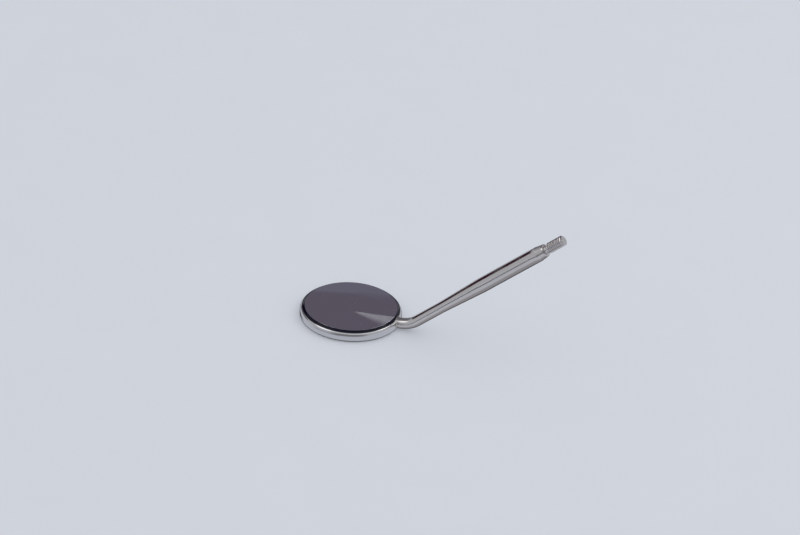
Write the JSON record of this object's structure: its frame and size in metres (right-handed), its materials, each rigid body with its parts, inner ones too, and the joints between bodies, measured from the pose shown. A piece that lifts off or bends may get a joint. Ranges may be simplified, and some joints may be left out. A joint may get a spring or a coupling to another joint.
{
  "type": "mouth mirror",
  "caption": "Round dental mouth mirror head with a bent, tapered steel stem ending in a cone seat and a thread for a handle.",
  "frame": {"origin": "centre of the head's flat back face", "axes": "+Z out of the reflecting face, +X from the head's centre towards the stem, whose axis lies in the XZ plane, +Y across the stem"},
  "size_m": [0.0619, 0.024, 0.0336],
  "materials": {
    "polished_steel": "drawn stainless steel, polished, with faint turning marks and handling scratches",
    "backing": "dull dark sheet",
    "dark_glass": "glossy ground bevel over a dark backing",
    "mirror_film": "front surface metal film with faint wipe marks",
    "sealant": "smooth black sealant",
    "stem_steel": "stainless steel, polished along its length",
    "braze": "pale silver braze, slightly dull"
  },
  "bodies": {
    "root": {"head_cup": "polished_steel", "backing_cushion": "backing", "mirror_glass": "dark_glass", "reflective_coating": "mirror_film", "edge_seal": "sealant", "stem": "stem_steel", "stem_braze": "braze"}
  },
  "joints": []
}
